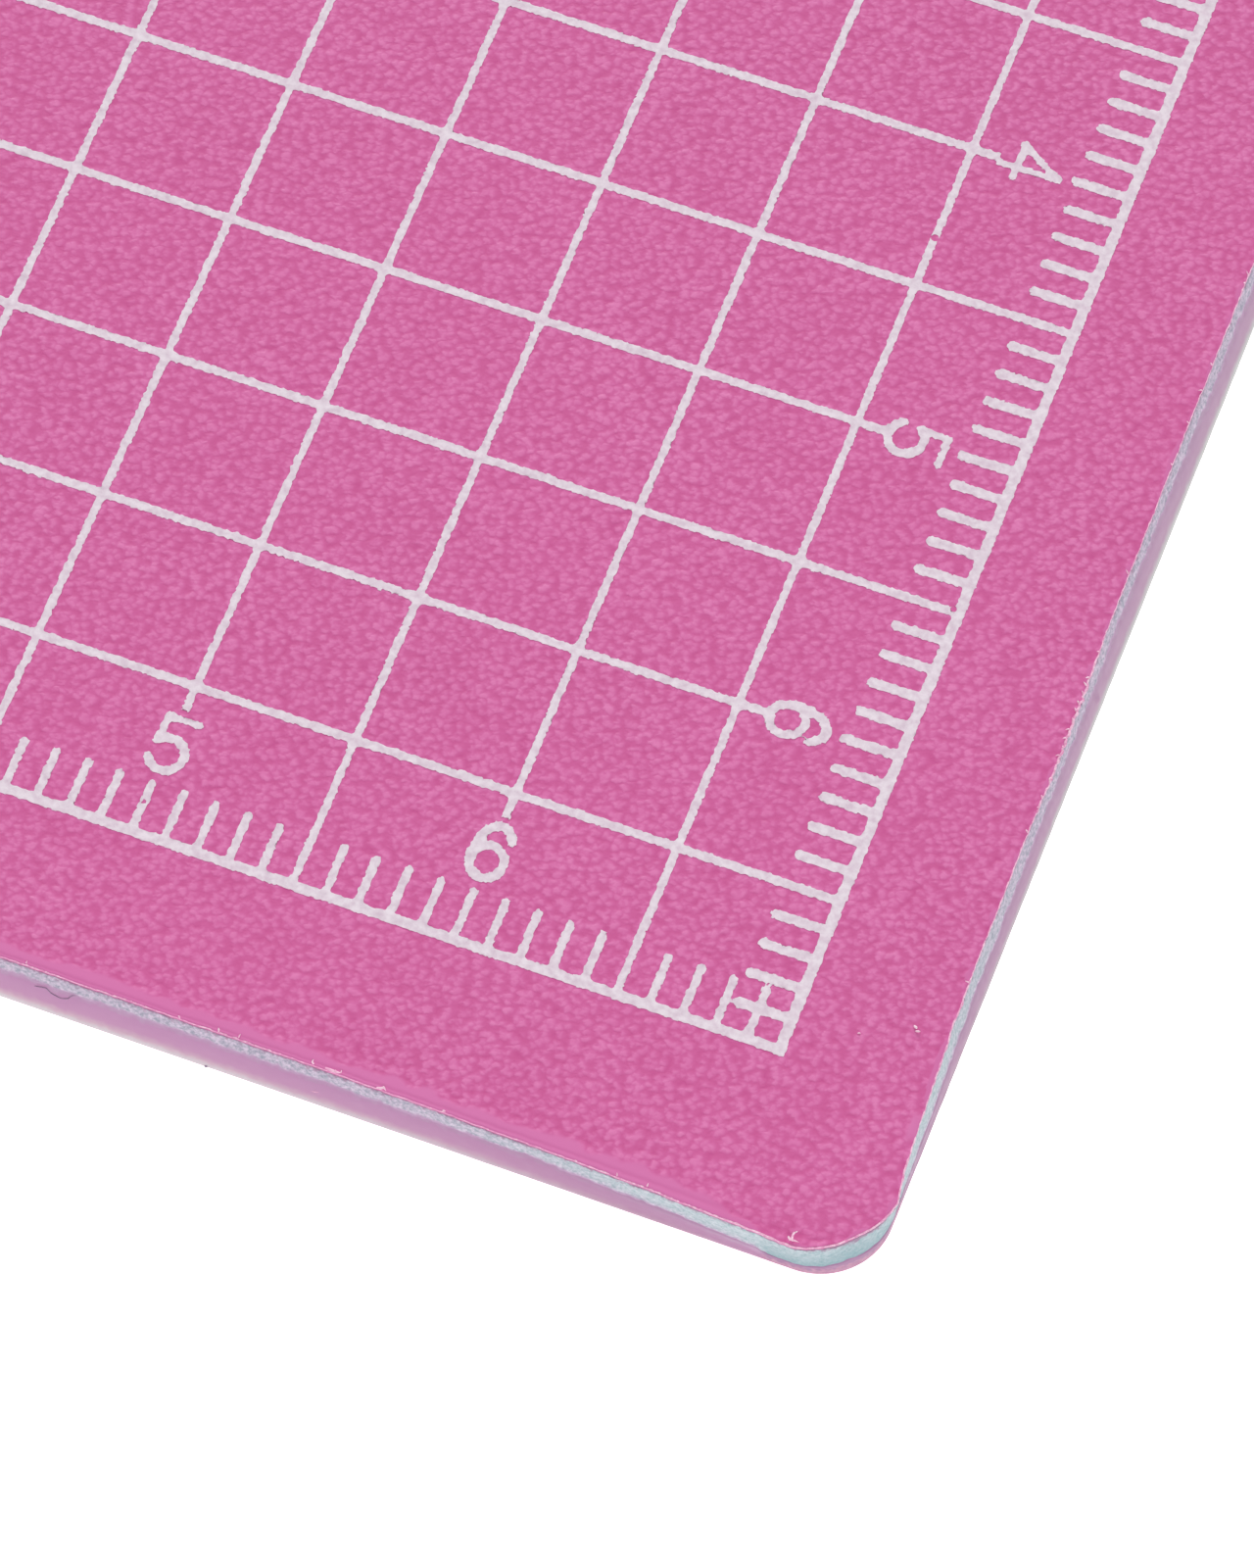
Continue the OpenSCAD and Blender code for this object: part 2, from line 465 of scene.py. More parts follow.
def core_material():
    """Mint core, rough and faintly streaked along the cut, with pink dragged over its sides, painted shade
    deeper in the corners and a painted shadow along its top, under the skin's edge.
    """
    s = Shader("mint_core")
    streaks = s.noise(0.13, 5, 0.7, s.stretched((1, 1, 1.3)))
    mint = s.ramp(streaks, [(0.36, (0.35, 0.455, 0.49)), (0.64, (0.595, 0.63, 0.675))])
    # painted shade: a darker mint where the value falls below 0, at the corners
    mint = s.mix(s.fit(s.value("smear_and_shade"), -1.5, 0.0, 1.0, 0.0), mint, (0.16, 0.31, 0.345))
    smear_and_shade = s.ramp(streaks, [(0.38, (0.31, 0.29, 0.38)), (0.62, (0.67, 0.535, 0.675))])
    lilac = s.fit(s.value("smear_and_shade"), 0.85, 1.2, 0.0, 1.0)
    colour = s.mix(lilac, s.mix(s.fit(s.value("smear_and_shade"), 0, 1, 0, 1), mint, smear_and_shade), (0.48, 0.30, 0.46))
    # painted shadow: a broken dark line along the top of the wall, under the skin's edge
    broken = s.fit(s.noise(0.14, 3), 0.35, 0.65, -0.07, 0.07)
    dark_top_line = s.fit(s.maths("ADD", s.value("height"), broken), 0.93, 1.02, 0.0, 0.8)
    colour = s.mix(dark_top_line, colour, (0.34, 0.19, 0.30))
    rough = s.fit(s.noise(0.2), 0.3, 0.7, 0.6, 0.8)
    normal = s.bump(s.noise(0.13, 3), 0.03, s.bump(streaks, 0.02))
    return s.finish(colour, rough, normal)


def base_material():
    """Pink base skin, thin enough on the dragged-up lips for the mint to show through, with a painted
    reflection of the floor on its foot and painted shade on the lips near the corners.
    """
    s = Shader("base_skin")
    wobble = s.fit(s.noise(0.3, 4), 0.3, 0.7, -0.05, 0.05)
    up = s.maths("ADD", s.value("up"), wobble)
    # the lowest, palest stops of both ramps are a painted reflection of the white floor on the foot
    ahead = s.ramp(
        up,
        [
            (0.04, (0.58, 0.53, 0.56)),
            (0.16, (0.57, 0.50, 0.54)),
            (0.3, (0.53, 0.35, 0.44)),
            (0.5, (0.475, 0.235, 0.40)),
            (0.88, (0.465, 0.23, 0.405)),
            (1.0, (0.48, 0.31, 0.46)),
        ],
    )
    aside = s.ramp(
        up,
        [
            (0.04, (0.52, 0.52, 0.53)),
            (0.18, (0.49, 0.53, 0.50)),
            (0.34, (0.44, 0.38, 0.42)),
            (0.52, (0.42, 0.25, 0.37)),
            (0.88, (0.42, 0.25, 0.385)),
            (1.0, (0.46, 0.33, 0.45)),
        ],
    )
    lip = s.mix(s.value("ahead"), aside, ahead)
    lip = s.mix(s.value("shade"), lip, (0.35, 0.165, 0.295))
    ply = s.ramp(s.noise(0.3, 4), [(0.35, (0.44, 0.20, 0.32)), (0.65, (0.53, 0.29, 0.40))])
    broken = s.fit(s.noise(0.16, 3), 0.35, 0.65, -0.2, 0.2)
    dark_top_line = s.fit(s.maths("ADD", s.value("up"), broken), 0.75, 1.05, 0.0, 0.85)
    side = s.mix(s.value("dragged"), s.mix(dark_top_line, ply, (0.33, 0.17, 0.31)), lip)
    under = s.ramp(s.noise(0.5, 4), [(0.3, (0.55, 0.08, 0.27)), (0.7, (0.62, 0.11, 0.32))])
    colour = s.mix(s.value("below"), side, under)
    rough = s.fit(s.noise(0.4), 0.3, 0.7, 0.4, 0.55)
    normal = s.bump(s.noise(0.35, 3), 0.012)
    return s.finish(colour, rough, normal)


def burr_material():
    """Torn skin, stretched pale."""
    s = Shader("torn_skin")
    colour = s.ramp(s.noise(0.12, 4), [(0.35, (0.72, 0.26, 0.47)), (0.65, (0.90, 0.60, 0.74))])
    rough = s.fit(s.noise(0.2), 0.3, 0.7, 0.4, 0.6)
    normal = s.bump(s.noise(0.08, 2), 0.006)
    return s.finish(colour, rough, normal)


def shred_material():
    """Curls and crumbs of torn skin, almost white."""
    s = Shader("pale_shreds")
    colour = s.ramp(s.noise(0.2, 4), [(0.35, (0.78, 0.36, 0.56)), (0.65, (0.90, 0.66, 0.77))])
    rough = s.fit(s.noise(0.2), 0.3, 0.7, 0.4, 0.6)
    return s.finish(colour, rough, s.bump(s.noise(0.08, 2), 0.004))


def scratch_material():
    """A dark, mottled lilac for the scratch and the dot."""
    s = Shader("dark_scratch")
    colour = s.ramp(s.noise(0.15, 4), [(0.35, (0.20, 0.14, 0.22)), (0.65, (0.38, 0.27, 0.39))])
    rough = s.fit(s.noise(0.2), 0.3, 0.7, 0.6, 0.8)
    return s.finish(colour, rough, s.bump(s.noise(0.08, 2), 0.004))


# ---- Top skin ----


def spacing():
    """Coordinates across the mat, closer together towards both edges."""
    steps = [EDGE_PITCH]
    while steps[-1] < PITCH:
        steps.append(min(PITCH, steps[-1] * PITCH_GROWTH))
    edge = -HALF + np.concatenate([[0], np.cumsum(steps)])
    inner = np.linspace(edge[-1], -edge[-1], round(-2 * edge[-1] / PITCH) + 1)
    return np.concatenate([edge[:-1], inner, -edge[-2::-1]])


def surface(x, y):
    """The skin's height, its grain and how plain it is, for points of the square before rounding."""
    depth = edge_depth(x, y)
    ahead = is_front_or_back(x, y) * smooth(0.8, 3.0, straightness(x, y))
    width = 0.02 + 0.5 * ahead  # of the plain strip along the edge
    wander = 0.4 * (noise(x, y, 0.5, 31) - 0.5)
    plain = 1 - smooth(0.7 * width, 1.2 * width, depth + wander)
    flap = (x > 0) * (1 - smooth(0.2, 0.32, depth)) * np.exp(-(((y - FLAP_Y) / 0.42) ** 4))
    plain = np.maximum(plain, flap)
    # painted sheen: the plain strip and the flap get a high grain value, so the skin's colour is paler
    # there
    relief = grain(x, y) * (1 - plain) + (0.75 + 0.35 * ahead + 0.6 * flap) * plain
    lift = 0.02 * ahead * (1 - smooth(0.1, 0.7, depth)) + 0.02 * flap
    # a crease just inside the edge, further in and wider towards the corners, sunk a little and given
    # painted shade through a lower grain value
    near = is_front_or_back(x, y) * np.exp(-straightness(x, y) / 6) * (1 - corner_share(x, y))
    fold = np.exp(-(((depth - 0.06 - 0.26 * near) / (0.045 + 0.05 * near)) ** 2))
    crease = (0.003 + 0.01 * ahead) * fold
    relief = relief - (0.2 + 0.5 * np.maximum(ahead, near)) * fold
    swell = 0.01 * (noise(x, y, 2.5, 32) - 0.5)
    height = TOP + GRAIN_DEPTH * (relief - 0.9) * (1 - plain) + lift - crease + swell
    return height, relief, plain


def build_top_skin(material):
    """The grained skin, with a rounded rim that goes down to the core."""
    line = spacing()
    x, y = np.meshgrid(line, line, indexing="ij")
    z, relief, plain = surface(x, y)
    px, py, nx, ny = rounded(x, y)
    depth = edge_depth(x, y)
    inset = (top_inset(x, y) + sag(x, y)) * np.exp(-((depth / RIM_REACH) ** 2))
    px, py = px - nx * inset, py - ny * inset
    points = np.stack([px, py, z], axis=-1)
    n = len(line)
    index = np.arange(n * n).reshape(n, n)
    a = index[:-1, :-1]
    quads = np.stack([a, index[1:, :-1], index[1:, 1:], index[:-1, 1:]], axis=-1).reshape(-1, 4)
    ring = np.concatenate([index[:-1, 0], index[-1, :-1], index[:0:-1, -1], index[0, :0:-1]])
    edge = points.reshape(-1, 3)[ring]
    out = np.stack([nx.ravel()[ring], ny.ravel()[ring]], axis=-1)
    rows = [ring]
    extra = []
    # the rim's rows: how far out of the edge each one lies, and its height
    rim_rows = ((0.02, edge[:, 2] - 0.03), (0.01, edge[:, 2] - 0.1), (-0.03, CORE_HIGH - 0.02))
    for k, (outset, height) in enumerate(rim_rows):
        row = edge.copy()
        row[:, :2] += out * outset
        row[:, 2] = height
        extra.append(row)
        rows.append(n * n + len(ring) * k + np.arange(len(ring)))
    rim = []
    for top, low in zip(rows[:-1], rows[1:]):
        rim.append(np.stack([top, low, np.roll(low, -1), np.roll(top, -1)], axis=-1))
    points = np.concatenate([points.reshape(-1, 3), *extra])
    cap = rows[-1][::-1][None]
    mesh = make_mesh("top_skin_grained", points, [quads, np.concatenate(rim), cap])
    rest = np.full(len(ring) * len(rim_rows), 0.6)  # the rim is fairly plain
    add_value(mesh, "grain", np.concatenate([relief.ravel(), rest]))
    add_value(mesh, "plain", np.concatenate([plain.ravel(), rest]))
    add_piece("top_skin_grained", mesh, material, ["top_skin"])


# ---- Core and base ----


def lip_share(x, y):
    """1 where the base is dragged up the wall, 0 at the bare corners."""
    return smooth(0.75, 1.15, straightness(x, y) + 0.3 * (noise(x, y, 0.4, 41) - 0.5))


def wall_inset(x, y, z):
    """The cut wall's distance inside the underside's outline at a height."""
    lean = np.clip((z - CORE_LOW) / (CORE_HIGH - CORE_LOW), 0, 1)
    bulge = 0.04 * np.sin(math.pi * lean)
    return top_inset(x, y) * lean**1.2 - bulge + sag(x, y)


def lip_height(x, y):
    """Height of the ragged top of the dragged-up base skin."""
    run = straightness(x, y)
    ahead = 0.22 + 0.9 * (1 - np.exp(-run / 4))
    aside = 0.21 + 0.89 * (1 - np.exp(-run / 6))
    full = np.where(is_front_or_back(x, y), ahead, aside)
    ragged = 0.1 * (noise(x, y, 0.9, 61) - 0.5) + 0.1 * (noise(x, y, 0.15, 63) - 0.5)
    share = lip_share(x, y)
    bare = 0.12 + 0.29 * corner_share(x, y) + 0.3 * ragged
    return CORE_LOW + bare * (1 - share) + share * ((LIP_HIGH - CORE_LOW) * full + ragged)


def build_core(material):
    """The core between the skins, with a rough cut wall."""
    ring = outline(WALL_PITCH)
    x, y = ring[:2]
    profile, smear_and_shade, height = [], [], []
    lip, tip = lip_share(x, y), lip_height(x, y)
    dragged = 0.85 * smooth(3, 13, straightness(x, y))
    for z in np.linspace(CORE_HIGH - 0.005, CORE_LOW - 0.01, CORE_ROWS):
        rough = 0.03 * (noise(x + 7 * z, y - 3 * z, 0.16, 51) - 0.5)
        rough = rough + 0.03 * (noise(x, y, 0.5, 52) - 0.5) * math.sin(9 * z)
        under = lip * 0.06 * np.clip((tip - z) / (LIP_HIGH - CORE_LOW), 0, 1)
        share = (z - CORE_LOW) / (CORE_HIGH - CORE_LOW)
        # painted shade: the mint darkens towards the bottom at the bare corners, and all round the corner
        # curves
        painted_corner_shade = -(1 - lip) * (1 - share) - 0.32 * corner_share(x, y)
        smear_and_shade.append(np.maximum(dragged, 1.2 * lip * np.exp(-np.maximum(z - tip, 0) / 0.14)) + painted_corner_shade)
        height.append(share + 0.09 * corner_share(x, y))
        profile.append((wall_inset(x, y, z) + 0.025 + rough + under, z))
    rows = wall_rows(ring, profile)
    quads, index = loft(rows)
    mesh = make_mesh("core_cut", rows.reshape(-1, 3), [quads, index[:1], index[-1:, ::-1]])
    add_value(mesh, "smear_and_shade", np.ravel(smear_and_shade))
    add_value(mesh, "height", np.ravel(height))
    add_piece("core_cut", mesh, material, ["core"])


def build_base(material):
    """The bottom skin, with its lips dragged up over the core."""
    ring = outline(WALL_PITCH)
    x, y = ring[:2]
    lip = lip_share(x, y)
    tip = lip_height(x, y)
    run = straightness(x, y) / 4
    # painted reflection: less of the floor's pale reflection on the foot near the corners
    less_floor_reflection = 0.4 * np.exp(-run)  # less of the pale foot near the corners
    profile, up, below = [], [], []
    for t in np.linspace(1, 0, LIP_ROWS):
        z = LOWER_EDGE + (tip - LOWER_EDGE) * t
        film = 0.012 + 0.012 * (1 - t) - 0.05 * smooth(0.9, 1, t)
        blemish = 0.08 * np.exp(-(((y - BLEMISH_Y) / 0.12) ** 2) - ((z - BLEMISH_Z) / 0.12) ** 2) * (x > 0)
        ragged = 0.012 * (noise(x, y + 5 * t, 0.5, 62) - 0.5)
        profile.append((wall_inset(x, y, z) + 0.012 - film + ragged - blemish, z))
        up.append(z / tip + less_floor_reflection)
        below.append(0 * x)
    for turn in np.linspace(0, math.pi / 2, EDGE_ROWS)[1:]:
        z = LOWER_EDGE * (1 - math.sin(turn))
        profile.append((LOWER_EDGE * (1 - math.cos(turn)) - 0.01 + sag(x, y), z + 0 * x))
        up.append(z / tip + less_floor_reflection)
        below.append(turn / (math.pi / 2) + 0 * x)
    outer = wall_rows(ring, profile)
    hidden = wall_rows(ring, [(0.5, CORE_LOW - 0.005), (0.4, tip - 0.03), profile[0]])
    quads, index = loft(outer)
    more, inside = loft(hidden)
    inside, more = inside + outer.size // 3, more + outer.size // 3
    points = np.concatenate([outer.reshape(-1, 3), hidden.reshape(-1, 3)])
    mesh = make_mesh("base_skin", points, [quads, more, inside[:1], index[-1:, ::-1]])
    rest = np.zeros(hidden.size // 3)
    add_value(mesh, "up", np.concatenate([np.ravel(up), rest + 1]))
    all_rows = len(outer) + len(hidden)
    add_value(mesh, "dragged", np.tile(lip, all_rows))
    add_value(mesh, "ahead", np.tile(is_front_or_back(x, y), all_rows))
    add_value(mesh, "shade", np.tile(1.6 * run * np.exp(-run), all_rows))
    add_value(mesh, "below", np.concatenate([np.ravel(below), rest]))
    add_piece("base_skin", mesh, material, ["bottom_skin"])


# ---- What the blade left ----

STRAND_ROWS, STRAND_SIDES = 9, 8  # rows of points along a strand, and points in each
SCRATCH_PROUD = 0.012  # how far a scratch's middle stands off the wall


def build_burr(material):
    """The torn rim left along the top edge by the blade."""
    ring = outline(BURR_PITCH)
    x, y = ring[:2]
    inset = top_inset(x, y) + sag(x, y)
    tooth = noise(x, y, 0.09, 71) * 0.6 + noise(x, y, 0.05, 72) * 0.4
    # rougher in the torn stretch and near the corners
    amount = 0.3 + 0.7 * noise(x, y, 1.2, 73) + 1.3 * torn(x, y)
    amount = amount + 0.7 * np.exp(-straightness(x, y) / 5) - 0.5 * corner_share(x, y)
    crest = TOP - 0.015 + 0.045 * tooth * amount
    out = 0.015 + 0.04 * tooth * amount
    profile = (
        (inset + 0.04, TOP - 0.05),
        (inset - 0.005, crest),
        (inset - out, crest - 0.025),
        (inset - out, crest - 0.05),
        (inset + 0.02, TOP - 0.1),
    )
    rows = wall_rows(ring, profile)
    quads, _ = loft(rows)
    mesh = make_mesh("skin_burr", rows.reshape(-1, 3), [quads])
    add_piece("skin_burr", mesh, material)


def shred(path, width, thickness):
    """A tapering strand along a path, as quads and rows of points."""
    t = np.linspace(0, 1, STRAND_ROWS)
    at = np.linspace(0, 1, len(path))
    line = np.stack([np.interp(t, at, path[:, k]) for k in range(3)], axis=-1)
    way = np.gradient(line, axis=0)
    way /= np.linalg.norm(way, axis=1, keepdims=True)
    side = np.cross(way, np.where(np.abs(way[:, 2:]) > 0.8, (1.0, 0.0, 0.0), (0.0, 0.0, 1.0)))
    side /= np.linalg.norm(side, axis=1, keepdims=True)
    top = np.cross(side, way)
    taper = (np.sin(math.pi * np.clip(0.12 + 0.88 * t, 0, 0.995)) ** 0.6)[:, None, None]
    turn = np.linspace(0, 2 * math.pi, STRAND_SIDES, endpoint=False)[None, :, None]
    ring = side[:, None] * np.cos(turn) * width / 2 + top[:, None] * np.sin(turn) * thickness / 2
    rows = line[:, None] + taper * ring
    return loft(rows)[0], rows


def add_strands(name, strands, material):
    """Shows a list of (path, width, thickness) strands as one piece."""
    points, faces, count = [], [], 0
    for path, width, thickness in strands:
        quads, rows = shred(path, width, thickness)
        points.append(rows.reshape(-1, 3))
        faces.append(quads + count)
        count += rows.size // 3
    mesh = make_mesh(name, np.concatenate(points), [np.concatenate(faces)])
    add_piece(name, mesh, material)


def build_shreds(material):
    """Curls, spikes and crumbs of torn skin, mostly along the cut edges."""
    # each is a path, with its heights above the mat's top, then a width and a thickness
    strands = [
        (
            [(37.86, -40.06, 0), (37.83, -40.03, 0.18), (37.85, -39.98, 0.36), (37.97, -39.94, 0.52)],
            0.09, 0.07,
        ),
        (
            [(37.7, -40.0, 0.1), (37.76, -40.05, 0.05), (37.85, -40.06, 0.07), (38.05, -40.04, 0.03)],
            0.08, 0.06,
        ),
        ([(23.16, -39.66, -0.03), (23.1, -39.66, 0.12), (23.14, -39.62, 0.25)], 0.07, 0.04),
        ([(23.5, -39.67, 0.02), (23.75, -39.69, 0.04), (24.02, -39.66, 0.0)], 0.09, 0.05),
        ([(23.8, -39.67, 0), (23.82, -39.66, 0.12)], 0.05, 0.04),
        ([(23.97, -39.66, 0), (24.0, -39.65, 0.2)], 0.06, 0.04),
        (
            [(25.1, -39.73, 0.02), (25.25, -39.72, 0.06), (25.31, -39.7, 0.14), (25.4, -39.74, 0)],
            0.08, 0.05,
        ),
        ([(38.76, -32.56, 0.02), (38.84, -32.6, 0.05), (38.88, -32.62, 0.02)], 0.09, 0.07),
        ([(38.86, -32.7, 0.02), (38.94, -32.7, 0.05), (39.0, -32.66, 0.02)], 0.07, 0.06),
        ([(37.33, -33.34, 0.0), (37.38, -33.32, 0.02), (37.42, -33.31, 0)], 0.06, 0.04),
        ([(23.1, -39.94, 0.74 - TOP), (23.25, -39.96, 0.8 - TOP), (23.4, -39.93, 0.82 - TOP)], 0.05, 0.03),
    ]
    dice = np.random.default_rng(74)
    x, y, nx, ny = outline(0.3)
    inset = top_inset(x, y) + sag(x, y)
    for k in np.flatnonzero(dice.random(len(x)) < 0.08 + 0.6 * torn(x, y)):
        foot = np.array([x[k] - nx[k] * inset[k], y[k] - ny[k] * inset[k], -0.02])
        along = np.array([-ny[k], nx[k], 0]) * dice.uniform(-0.12, 0.12)
        along = along - np.array([nx[k], ny[k], 0]) * dice.uniform(0, 0.13)
        tip = foot + along + (0, 0, dice.uniform(0.04, 0.12))
        strands.append(([foot, foot + along * 0.3 + (0, 0, 0.05), tip], dice.uniform(0.04, 0.07), 0.04))
    strands = [(np.array(path) + (0, 0, TOP), width, thickness) for path, width, thickness in strands]
    add_strands("edge_shreds", strands, material)


def build_scratches(material):
    """A long dark scratch and a dot on the front wall."""
    # each is a path of x and z, then a width
    marks = [
        ([(14.52, 1.2), (14.88, 1.27), (15.04, 1.13), (15.3, 1.06), (15.4, 1.06)], 0.03),
        ([(15.35, 1.05), (15.56, 1.13), (15.66, 1.31), (15.82, 1.4)], 0.025),
        ([(19.82, 0.08), (19.86, 0.11), (19.9, 0.09)], 0.1),
    ]
    strands = []
    for path, width in marks:
        x, z = np.array(path).T
        y = -HALF + wall_inset(x, 0 * x - HALF, z) - SCRATCH_PROUD
        strands.append((np.stack([x, y, z], axis=-1), width, width))
    add_strands("wall_scratches", strands, material)


# ---- Print ----


def curve(cx, cy, rx, ry, start, end):
    """Points along part of an ellipse, between two angles in degrees."""
    turns = np.radians(np.linspace(start, end, 21))
    return [(cx + rx * math.cos(a), cy + ry * math.sin(a)) for a in turns]


# Centre lines of the numerals' strokes, in a box 2 high that stands on the baseline
STROKES = {
    1: [[(0.12, 0), (0.12, 1.93)], [(-0.35, 1.42), (0.05, 1.68), (0.18, 1.95)]],
    2: [curve(0, 1.36, 0.5, 0.5, 170, -32) + [(-0.5, 0.14)], [(-0.58, 0.125), (0.58, 0.125)]],
    3: [curve(-0.02, 1.41, 0.44, 0.45, 165, -95), curve(0, 0.62, 0.5, 0.5, 100, -165)],
    4: [[(0.16, 0.05), (0.16, 1.9)], [(-0.7, 0.6), (0.52, 0.6)], [(-0.66, 0.6), (0.14, 1.87)]],
    5: [
        [(-0.34, 1.86), (0.56, 1.86)],
        [(-0.34, 1.86), (-0.42, 1.02)],
        curve(0.02, 0.66, 0.53, 0.54, 143, -160),
    ],
    6: [curve(0, 0.66, 0.5, 0.54, 0, 360), curve(0.03, 0.94, 0.55, 0.93, 200, 34)],
}
DIGIT_STROKE = 0.22  # width of a numeral's strokes
ACROSS, ALONG = 0.27, 0.24  # widths of the grid lines that run from side to side, and to the back
MARK_ACROSS, MARK_ALONG = 0.31, 0.25  # the same for the millimetre marks
SQUARE = 5  # pitch of the printed grid
STUB = 0.85  # how far a whole-centimetre line runs past the last line that it crosses
GROUPS = (
    "printed_grid", "printed_frame",
    "marks_front", "marks_right", "marks_back", "marks_left",
    "numerals_front", "numerals_right", "numerals_back", "numerals_left",
)
BREAKS = ((65.0, 26.7, 0.12), (69.8, 15.1, 0.1), (50.0, 1.0, 0.07))  # gaps in the ink: u, v, radius

PAGE_MARGIN = 1  # how far the lattice of the print runs past the field
REACH = 0.5  # how far from a stroke its distances are worked out
FAR = 5.0  # stands for the distance beyond that
BLEND = 0.1  # size of the fillets between strokes


class Print:
    """The distance from each point of a fine lattice over the field to the nearest ink edge."""

    def __init__(self):
        line = np.arange(-PAGE_MARGIN, FIELD + PAGE_MARGIN, INK_PITCH)
        self.u, self.v = np.meshgrid(line, line, indexing="ij")
        self.distance = np.full(self.u.shape, FAR)  # with the strokes blended together
        self.nearest = np.full(self.u.shape, FAR)  # to the closest single stroke
        self.group = np.zeros(self.u.shape, int)

    def window(self, low, high):
        """The part of the lattice within reach of a box."""
        first = [max(0, int((c - REACH + PAGE_MARGIN) / INK_PITCH)) for c in low]
        last = [int((c + REACH + PAGE_MARGIN) / INK_PITCH) + 2 for c in high]
        return slice(first[0], last[0]), slice(first[1], last[1])

    def draw(self, group, distance, where):
        """Adds a stroke, filling the sharp angle where it meets another a little."""
        old = self.distance[where]
        share = np.clip(0.5 + 0.5 * (distance - old) / BLEND, 0, 1)
        self.distance[where] = distance * (1 - share) + old * share - BLEND * share * (1 - share)
        closer = distance < self.nearest[where]
        self.nearest[where] = np.where(closer, distance, self.nearest[where])
        self.group[where] = np.where(closer, GROUPS.index(group), self.group[where])

    def segment(self, group, a, b, width, square=True):
        """Adds a straight stroke between two points, with square or round ends."""
        a, b = np.array(a, float), np.array(b, float)
        where = self.window(np.minimum(a, b), np.maximum(a, b))
        u, v = self.u[where], self.v[where]
        length = np.hypot(*(b - a))
        du, dv = (b - a) / length
        along = (u - a[0]) * du + (v - a[1]) * dv
        across = np.abs(dv * (u - a[0]) - du * (v - a[1])) - width / 2
        if square:
            beyond = np.maximum(-along, along - length)
            inner = np.minimum(np.maximum(across, beyond), 0)
            distance = np.hypot(np.maximum(across, 0), np.maximum(beyond, 0)) + inner
        else:
            reach = np.clip(along, 0, length)
            distance = np.hypot(u - a[0] - reach * du, v - a[1] - reach * dv) - width / 2
        self.draw(group, distance, where)

    def path(self, group, points):
        """Adds a numeral's stroke along a line of points."""
        for a, b in zip(points[:-1], points[1:]):
            self.segment(group, a, b, DIGIT_STROKE, square=False)


def turned(turn, points):
    """Points of the field turned about its centre by a number of quarter turns."""
    c, s = QUARTER_TURNS[turn]
    middle = FIELD / 2
    from_middle = [(u - middle, v - middle) for u, v in points]
    return [(middle + c * u - s * v, middle + s * u + c * v) for u, v in from_middle]


def draw_print():
    """Draws the frame, the grid, the rulers and their numerals."""
    page = Print()
    for turn in range(4):
        page.segment("printed_frame", *turned(turn, [(-LINE / 2, 0), (FIELD + LINE / 2, 0)]), LINE)
    for i in range(1, round(FIELD / SQUARE)):
        inset = 0 if i % 2 else SQUARE - STUB
        ends = [(i * SQUARE, inset), (i * SQUARE, FIELD - inset)]
        page.segment("printed_grid", *ends, ALONG)
        page.segment("printed_grid", *turned(1, ends), ACROSS)
    for turn, group in enumerate(("marks_front", "marks_right", "marks_back", "marks_left")):
        for i in range(1, round(FIELD)):
            if i % 10 != 5:
                length = SIDE_MARK if turn % 2 and i % 10 == 0 else MARK
                width = MARK_ACROSS if turn % 2 else MARK_ALONG
                ends = [(i, width / 2), (i, length - width / 2)]
                page.segment(group, *turned(turn, ends), width, square=False)
    for n in range(1, round(FIELD / 10)):
        for path in STROKES[n]:
            upright = [(10 * n + x, DIGIT_FOOT + y) for x, y in path]
            on_side = [(FIELD - SIDE_DIGIT_FOOT + y, FIELD - 10 * n - x) for x, y in path]
            page.path("numerals_front", upright)
            page.path("numerals_back", turned(2, upright))
            page.path("numerals_right", on_side)
            page.path("numerals_left", turned(2, on_side))
    return page


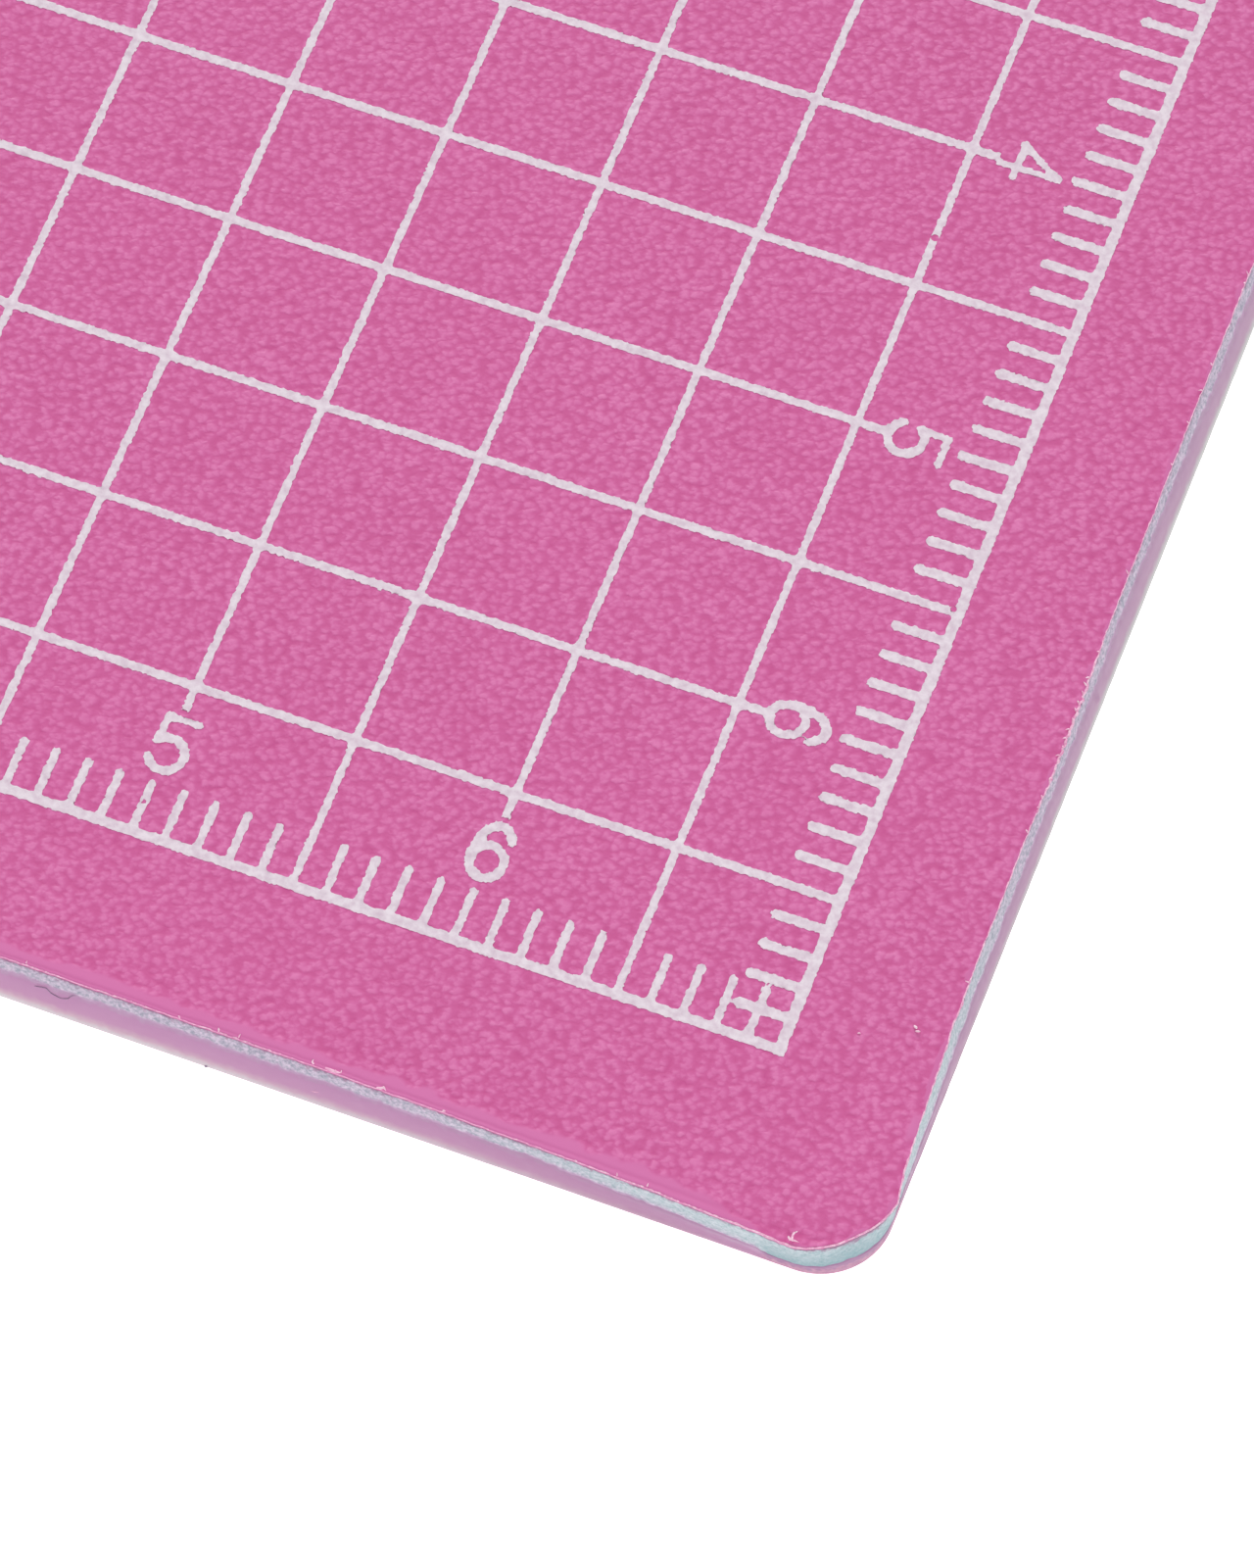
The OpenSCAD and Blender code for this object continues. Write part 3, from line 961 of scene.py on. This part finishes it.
def build_print(material):
    """A ragged film of ink that follows the grain, one piece for each printed node."""
    page = draw_print()
    x, y = page.u + FIELD_X, page.v + FIELD_Y
    z, relief, _ = surface(x, y)
    distance = page.distance + 0.012 * (noise(x, y, 0.3, 81) - 0.5)
    distance = distance + 0.065 * (noise(x, y, 0.075, 82) - 0.5) + 0.01 * (0.5 - relief)
    for u, v, radius in BREAKS:
        distance = np.maximum(distance, radius - np.hypot(page.u - u, page.v - v))
    inside = distance < 0
    # points just outside the ink are pulled back to its edge
    slope_u, slope_v = np.gradient(distance, INK_PITCH)
    steep = np.maximum(slope_u**2 + slope_v**2, 0.2)
    pull = np.where(inside, 0, np.clip(distance, 0, INK_PITCH))
    x, y = x - pull * slope_u / steep, y - pull * slope_v / steep
    film = INK * (0.35 + 0.1 * noise(x, y, 0.3, 83))
    n = x.size
    top = np.stack([x, y, z + film], axis=-1).reshape(-1, 3)
    foot = np.stack([x, y, z - 0.02], axis=-1).reshape(-1, 3)
    points = np.concatenate([top, top, foot])
    index = np.arange(n).reshape(x.shape)
    corners = np.stack([index[:-1, :-1], index[1:, :-1], index[1:, 1:], index[:-1, 1:]], axis=-1)
    filled = inside.ravel()[corners].any(axis=-1)
    closest = distance.ravel()[corners].argmin(axis=-1)
    owner = np.take_along_axis(page.group.ravel()[corners], closest[..., None], -1)[..., 0]
    empty = ~np.pad(filled, 1)
    neighbours = (
        (empty[1:-1, :-2], 0, 1),
        (empty[2:, 1:-1], 1, 2),
        (empty[1:-1, 2:], 2, 3),
        (empty[:-2, 1:-1], 3, 0),
    )
    for number, group in enumerate(GROUPS):
        mine = filled & (owner == number)
        faces = [corners[mine]]
        for gap, a, b in neighbours:
            start, end = corners[mine & gap][:, (a, b)].T
            faces.append(np.stack([start + n, start + 2 * n, end + 2 * n, end + n], axis=-1))
        used, quads = np.unique(np.concatenate(faces), return_inverse=True)
        mesh = make_mesh("ink_" + group, points[used], [quads.reshape(-1, 4)])
        add_piece("ink_" + group, mesh, material, [group])


# ---- Stage, light and camera, in metres unless a comment says otherwise ----

FLOOR_RADIUS = 1.5
FLOOR_GAP = 0.00002  # keeps the floor clear of the mat's underside
FLOOR_GLOW = 0.65  # strength of the floor's own light, which keeps it white
WORLD_LIGHT = 0.575  # strength of the light from all round
CAMERA_AIM = (28.322, -28.178, TOP)  # point at the middle of the view, in millimetres
CAMERA_DISTANCE = 262.6  # from there to the camera, in millimetres
CAMERA_TURN, CAMERA_HEIGHT, CAMERA_ROLL = 22.62, 63.03, -1.95  # degrees
CAMERA_LENS = 208.35


def build_stage():
    """A pale floor that stays white round the mat."""
    bpy.ops.mesh.primitive_circle_add(
        vertices=128, radius=FLOOR_RADIUS, fill_type="NGON", location=(0, 0, -FLOOR_GAP)
    )
    floor = bpy.context.object
    floor.name = "floor"
    s = Shader("floor_white")
    colour = s.ramp(s.noise(20, 3), [(0.3, (0.9, 0.9, 0.9)), (0.7, (0.93, 0.93, 0.93))])
    s.link(colour, s.surface.inputs["Base Color"])
    s.surface.inputs["Roughness"].default_value = 0.9
    s.surface.inputs["Emission Color"].default_value = (1, 1, 1, 1)
    s.surface.inputs["Emission Strength"].default_value = FLOOR_GLOW
    floor.data.materials.append(s.material)


def add_softbox(name, place, size, power, target=(0.03, -0.03, 0)):
    """A rectangular lamp at a place, turned towards the mat's corner, with a power in watts."""
    lamp = bpy.data.lights.new(name, "AREA")
    lamp.shape = "RECTANGLE"
    lamp.size, lamp.size_y = size
    lamp.energy = power
    box = bpy.data.objects.new(name, lamp)
    box.location = place
    way = np.array(target) - np.array(place)
    box.rotation_mode = "QUATERNION"
    box.rotation_quaternion = Vector(way).to_track_quat("-Z", "Y")
    box.visible_camera = False
    bpy.context.scene.collection.objects.link(box)


def build_lights():
    """Even light from all round, a large softbox behind and a small one in front."""
    world = bpy.data.worlds.new("studio")
    world.use_nodes = True
    background = world.node_tree.nodes["Background"]
    background.inputs["Color"].default_value = (1, 1, 1, 1)
    background.inputs["Strength"].default_value = WORLD_LIGHT
    bpy.context.scene.world = world
    add_softbox("softbox_back", place=(-0.5, 1.25, 0.62), size=(0.9, 0.5), power=15.0)
    add_softbox("softbox_front", place=(0.15, -0.25, 0.32), size=(0.3, 0.3), power=0.6)
    bpy.context.scene.view_settings.view_transform = "Standard"


def build_camera():
    """A long lens over the corner where both rulers end."""
    turn, height, roll = (math.radians(a) for a in (CAMERA_TURN, CAMERA_HEIGHT, CAMERA_ROLL))
    back = Vector((math.sin(turn) * math.cos(height), -math.cos(turn) * math.cos(height), math.sin(height)))
    data = bpy.data.cameras.new("camera")
    data.lens = CAMERA_LENS
    data.clip_start, data.clip_end = 0.01, 10
    camera = bpy.data.objects.new("camera", data)
    level = (-back).to_track_quat("-Z", "Y").to_matrix()
    place = Vector(CAMERA_AIM) * MM + back * (CAMERA_DISTANCE * MM)
    camera.matrix_world = Matrix.Translation(place) @ (level @ Matrix.Rotation(roll, 3, "Z")).to_4x4()
    bpy.context.scene.collection.objects.link(camera)
    bpy.context.scene.camera = camera


build_camera()
build_lights()
build_stage()
build_top_skin(skin_material())
build_core(core_material())
build_base(base_material())
build_burr(burr_material())
build_shreds(shred_material())
build_scratches(scratch_material())
build_print(ink_material())
